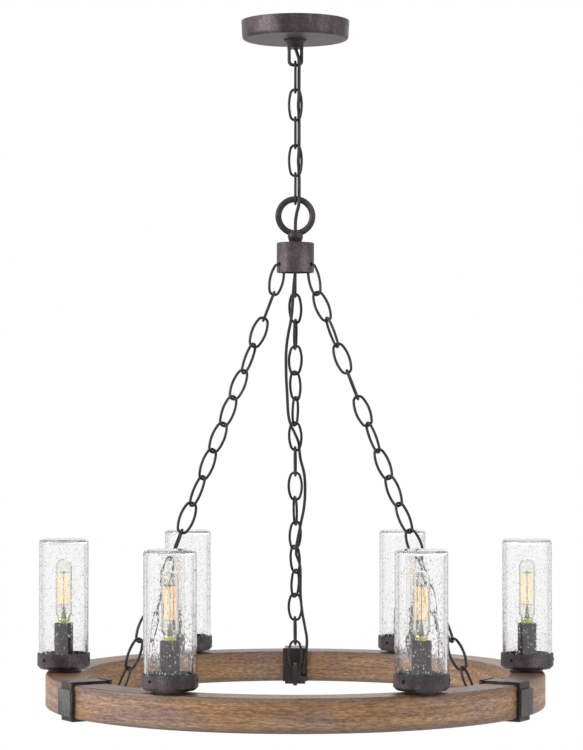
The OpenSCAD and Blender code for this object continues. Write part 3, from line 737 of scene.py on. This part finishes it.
def linkPath(length, width):
    # the wire's middle in the XZ plane: two tight end arcs and two slack side arcs, open at the slit on +X
    halfWidth = (width - chain["wire"]) / 2
    halfLength = (length - chain["wire"]) / 2
    end = chain["endRadius"]
    endHeight = halfLength - end
    side = (halfWidth ** 2 + endHeight ** 2 - end ** 2) / (2 * (halfWidth - end))
    reach = math.atan2(endHeight, side - halfWidth)
    slit = chain["slit"] / 2 / side
    sideSteps, endSteps = chain["sideSteps"], chain["endSteps"]
    arcs = [
        (halfWidth - side, 0, side, slit, reach, sideSteps // 2),
        (0, endHeight, end, reach, math.pi - reach, endSteps),
        (side - halfWidth, 0, side, math.pi - reach, math.pi + reach, sideSteps),
        (0, -endHeight, end, math.pi + reach, 2 * math.pi - reach, endSteps),
        (halfWidth - side, 0, side, 2 * math.pi - reach, 2 * math.pi - slit, sideSteps // 2),
    ]
    path = []
    for x, z, radius, first, last, steps in arcs:
        for step in range(steps):
            path.append(arcPoint(x, z, radius, first + (last - first) * step / steps))
    path.append(arcPoint(halfWidth - side, 0, side, 2 * math.pi - slit))
    return path


def turn(degrees, axis):
    return Matrix.Rotation(math.radians(degrees), 4, axis)


def placed(path, matrix):
    return [(matrix @ point) * mm for point in path]


def makeUpperLinks():
    size = chain["upper"]
    path = linkPath(size["length"], size["width"])
    span = size["length"] - chain["wire"]
    for number in range(1, upperLinkCount + 1):
        middle = size["top"] - span / 2 - (number - 1) * (span - chain["hang"])
        facing = turn(90 if number % 2 == 1 else 180, "Z")  # neighbours lie across each other
        piece = wirePiece(
            "oval_link_%d" % number, [placed(path, Matrix.Translation((0, 0, middle)) @ facing)],
            chain["wire"], chainPaint,
        )
        body = "links_2_to_4" if 2 <= number <= 4 else "link_%d" % number
        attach(piece, body)
        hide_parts("chain_link_%d" % number)


def makeLowerLinks():
    size = chain["lower"]
    path = linkPath(size["length"], size["width"])
    span = size["length"] - chain["wire"]
    tilt = math.degrees(math.asin(size["along"][0]))
    for side in ("back", "left", "right"):
        azimuth, twists = chain[side]
        paths = []
        for k, twist in enumerate(twists):
            if k == 0:
                out, up = size["start"]
                lean = size["firstTilt"]
            else:
                run = (k - 1) * (span - chain["hang"]) - chain["hang"]
                out = size["firstFoot"][0] + run * size["along"][0]
                up = size["firstFoot"][1] + run * size["along"][1]
                lean = tilt
            matrix = (
                turn(azimuth - 90, "Z") @ Matrix.Translation((0, out, up)) @ turn(lean, "X")
                @ turn(90 + twist, "Z") @ Matrix.Translation((0, 0, -span / 2))
            )
            paths.append(placed(path, matrix))
        piece = wirePiece("oval_chain_" + side, paths, chain["wire"], chainPaint)
        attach(piece, "wheel")
        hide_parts("chain_" + side)


makeUpperLinks()
makeLowerLinks()
print("oval links hung")


def turnedPiece(name, outline, material, sides=48):
    # a disc drawn up ring by ring through (radius, height), as on a lathe
    deselectAll()
    rings = [(ringRadius * mm, ringHeight * mm) for ringRadius, ringHeight in outline]
    radius, height = rings[0]
    bpy.ops.mesh.primitive_circle_add(
        vertices=sides, radius=radius, fill_type="NGON", location=(0, 0, height)
    )
    piece = bpy.context.object
    piece.name = name
    applyPlace(piece)
    bpy.ops.object.mode_set(mode="EDIT")
    bpy.ops.mesh.select_all(action="SELECT")
    for nextRadius, nextHeight in rings[1:]:
        bpy.ops.mesh.extrude_region_move(TRANSFORM_OT_translate={"value": (0, 0, nextHeight - height)})
        share = nextRadius / radius
        bpy.ops.transform.resize(value=(share, share, 1), center_override=(0, 0, nextHeight))
        radius, height = nextRadius, nextHeight
    bpy.ops.mesh.select_all(action="SELECT")
    bpy.ops.mesh.normals_make_consistent(inside=False)
    bpy.ops.object.mode_set(mode="OBJECT")
    smoothEdges(piece)
    setMaterial(piece, material)
    return piece


upperCord = {
    "diameter": 4,
    # the same points as the CAD cord's
    "route": [
        (0, 0, -4), (0, 0, -14), (0, 0, -24), (0.1, -0.1, -31.5), (2.2, -2, -38.5), (4, -4, -45),
        (4.4, -4.5, -53), (4.3, -4.4, -63), (4.3, -4.2, -74), (4.3, -4, -84), (4, -2.4, -92),
        (3.5, 0, -99.3), (4, 2.4, -107), (4.3, 4, -115.5), (4.3, 2.6, -124), (4.3, 0, -132.4),
        (4.3, -2.6, -141), (4.3, -4, -149.2), (4, -2.4, -158), (3.5, 0, -165.5), (4, 2.4, -173),
        (4.3, 4, -181.5), (4.4, 2.6, -189), (4.4, -1.5, -197), (4.4, -5.2, -204.5), (4.3, -6.6, -212),
        (3.8, -6.2, -219), (1.6, -3.6, -227.5), (0.2, -0.8, -237), (0, 0, -246), (0, 0, -261), (0, 0, -276),
    ],
    # first and last point of each stretch, the two bodies it joins, and the heights where its bend
    # starts and ends
    "stretches": [
        (0, 7, "ceiling_mount", "link_1", -46, -58), (7, 15, "link_1", "links_2_to_4", -78, -91),
        (15, 23, "links_2_to_4", "link_5", -177, -190), (23, 31, "link_5", "wheel", -210, -223),
    ],
    "steps": 5,
}


def makeUpperCord():
    steps = upperCord["steps"]
    points = smoothPath([Vector(p) * mm for p in upperCord["route"]], steps)
    for number, (first, last, upper, lower, bendStart, bendEnd) in enumerate(upperCord["stretches"], 1):
        # each stretch reaches one step into the one before, so that no gap shows between them
        path = points[max(first * steps - 1, 0):last * steps + 1]
        piece = wirePiece("upper_cord_%d" % number, [path], upperCord["diameter"], cordCover)
        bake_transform(piece)
        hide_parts("upper_cord")


lowerCord = {
    "diameter": 3.6,
    "hubRoute": [(0, 0, -276.3), (0, 0.6, -287), (-0.5, 4, -299), (-2, 11, -313)],
    # down the back chain, sideways, behind it
    "chainRoute": [
        (8, -3.2, -8.6), (20, -4, -8.4), (33, -5.6, -7.6), (47, -8, -5), (62, -10.2, -4.6), (78, -11.2, -4.8),
        (95, -11.2, -4.6), (112, -10.8, -3), (130, -9.8, -3.6), (148, -9, -6.4), (159, -7.6, -9.2),
        (169, -4.4, -11), (177, -1.4, -7.2), (184, 0.4, -1.6), (191, 2.6, 2.2), (198, 4.4, 3.6),
        (206, 5, 3.8), (219, 6.6, 2.6), (234, 10.4, 1.4), (248, 12, 0.8), (268, 12, 0), (284, 10.6, -1.8),
        (299, 7.6, -4.8), (314, 4.6, -7.6), (329, 2, -8.4), (339, 1.2, -6.4), (347, 1.4, -2.4),
        (354.5, 3.4, 0.8), (363, 5.8, 1), (374, 6.6, -0.6), (386, 6.6, -3), (398, 6.6, -4.8),
        (414, 7.6, -5.2), (430, 9.4, -5.2), (446, 12, -4.6),
    ],
    # sideways, from the ring's inner face, above its top
    "ringRoute": [
        (14.6, -33, 21), (14.8, -24, 9), (13.4, -16, -3), (11.8, -11.6, -12), (11.1, -10.4, -19.5),
        (11, -8.2, -25.6), (11, -3.6, -28.5), (11, 5, -28.5), (11, 15.8, -28.5),
    ],
    "ringInnerRadius": 251.5,
    "ringTop": -768,
    "steps": 5,
}


def makeLowerCord():
    out, down = chain["lower"]["along"]
    footOut, footHeight = chain["lower"]["firstFoot"]
    inner, top = lowerCord["ringInnerRadius"], lowerCord["ringTop"]
    points = [Vector(p) for p in lowerCord["hubRoute"]]
    for distance, sideways, behind in lowerCord["chainRoute"]:
        run = distance - chain["hang"]  # the first link's foot lies that far down the chain
        place = (sideways, footOut + run * out - behind * down, footHeight + run * down + behind * out)
        points.append(Vector(place))
    for sideways, outward, above in lowerCord["ringRoute"]:
        points.append(Vector((sideways, inner + outward, top + above)))
    path = smoothPath([p * mm for p in points], lowerCord["steps"])
    piece = wirePiece("lower_cord_cover", [path], lowerCord["diameter"], cordCover)
    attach(piece, "wheel")
    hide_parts("lower_cord")


makeUpperCord()
makeLowerCord()
print("cords in place")

bulb = {
    "lampRadius": 273.3,
    "strands": 18,
    "strandDiameter": 0.55,
    "cageRadius": 6.3,
    "cageFoot": -688.5,
    "cageTop": -652.5,
    "wireDiameter": 0.35,
    "hook": [(0.5, 1.2), (4, 1)],  # radius, and distance beyond the cage's end, from the stem outward
    "lead": [(1.1, -705), (1.3, -699), (2.6, -694)],  # radius and height, from the pinch up
    # (radius, height) from the contact up, with the thread's ridges
    "cap": [
        (1.6, -729.8), (2.5, -729.4), (2.5, -727.2), (4.6, -725.6), (5.75, -724), (5.85, -723),
        (5.35, -722.1), (5.85, -721.2), (5.35, -720.3), (5.85, -719.4), (5.35, -718.5), (5.85, -717.6),
        (5.35, -716.7), (5.85, -715.8), (5.7, -713), (5.7, -711.2), (6.6, -711.2), (7.2, -710.8),
        (7.2, -709.6), (6.7, -709.1), (6.7, -707.9), (7.2, -707.4), (7.2, -706.3), (6.8, -705.7),
        (3.4, -705.6), (3.1, -705.5),
    ],
    "stem": [
        (3.0, -705.4), (3.0, -704.2), (2.6, -701), (2.0, -698), (1.7, -695.4), (1.5, -692.8), (0.9, -691.4),
        (0.5, -690), (0.5, -654), (1.0, -653), (1.3, -651.6), (1.0, -650.4), (0.4, -649.8),
    ],
}


def turnedPoint(radius, angle, height):
    return Vector((radius * math.cos(angle), radius * math.sin(angle), height)) * mm


def makeBulbInsides():
    # modelled once on the axis: cap, glass stem with its top button, zigzag filament, hooks and lead wires
    cap = turnedPiece("bulb_cap", bulb["cap"], brass)
    stem = turnedPiece("bulb_stem", bulb["stem"], leadGlass, sides=24)
    cage = bulb["cageRadius"]
    strands = []
    wires = []
    for k in range(bulb["strands"]):
        angle = math.radians(360 / bulb["strands"] * k)
        start, end, beyond = bulb["cageFoot"], bulb["cageTop"], 1
        if k % 2 == 1:
            start, end, beyond = bulb["cageTop"], bulb["cageFoot"], -1
        strands += [turnedPoint(cage, angle, start), turnedPoint(cage, angle, end)]
        hookAngle = angle + math.radians(180 / bulb["strands"])
        hook = [turnedPoint(radius, hookAngle, end + rise * beyond) for radius, rise in bulb["hook"]]
        wires.append([*hook, turnedPoint(cage, hookAngle, end)])
    for side in (0, math.pi):
        lead = [turnedPoint(radius, side, height) for radius, height in bulb["lead"]]
        wires.append([*lead, turnedPoint(cage, side, bulb["cageFoot"])])
    filament = wirePiece(
        "bulb_filament", [strands], bulb["strandDiameter"], hotWire, resolution=1, closed=True
    )
    hooks = wirePiece("bulb_wires", wires, bulb["wireDiameter"], leadWire, resolution=1)
    return {cap: "bulb_brass", stem: "bulb_clear", filament: "bulb_brass", hooks: "bulb_brass"}


def copyToLamps(partSlots):
    for number in range(1, lampCount + 1):
        place = turnedPoint(bulb["lampRadius"], math.radians(360 / lampCount * (number - 1)), 0)
        for part, slotName in partSlots.items():
            makeActive(part)
            bpy.ops.object.duplicate(linked=False)
            piece = bpy.context.object
            piece.name = "%s_%d" % (part.name, number)
            piece.location = place
            applyPlace(piece)
            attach(piece, "bulb_%d" % number)
            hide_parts("bulb_core_%d" % number)
    for part in partSlots:
        bpy.data.objects.remove(part)


copyToLamps(makeBulbInsides())
print("bulbs filled")
